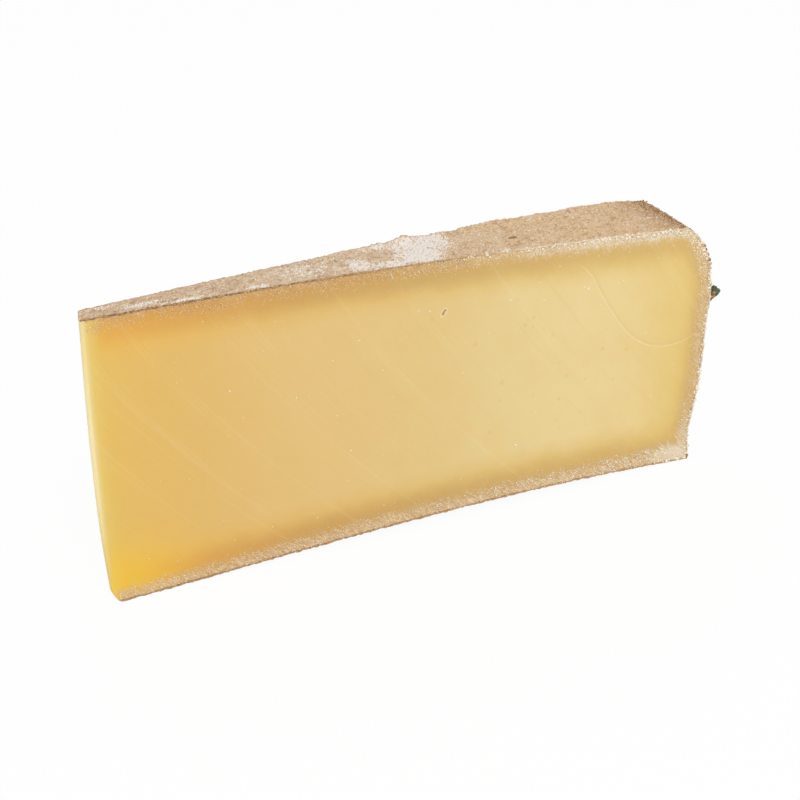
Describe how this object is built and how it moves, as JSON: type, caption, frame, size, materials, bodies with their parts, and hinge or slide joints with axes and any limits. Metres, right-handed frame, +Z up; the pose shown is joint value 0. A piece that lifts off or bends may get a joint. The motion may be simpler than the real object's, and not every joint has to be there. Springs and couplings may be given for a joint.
{
  "type": "comte cheese wedge",
  "caption": "Thin upright wedge of pressed hard cheese with a pale rind on its top, heel and underside and a torn scrap of paper band on the heel.",
  "frame": {"origin": "bottom centre of the box round the part, at the height of the surface it stands on", "axes": "+X from the thin nose to the heel along the wedge's middle, +Y across its thickness, +Z up through the wheel's thickness"},
  "size_m": [0.2421, 0.0342, 0.109],
  "materials": {
    "cheese": "satin",
    "band_paper": "matte"
  },
  "bodies": {
    "root": {"cheese_wedge": "cheese", "band_scrap": "band_paper"}
  },
  "joints": []
}
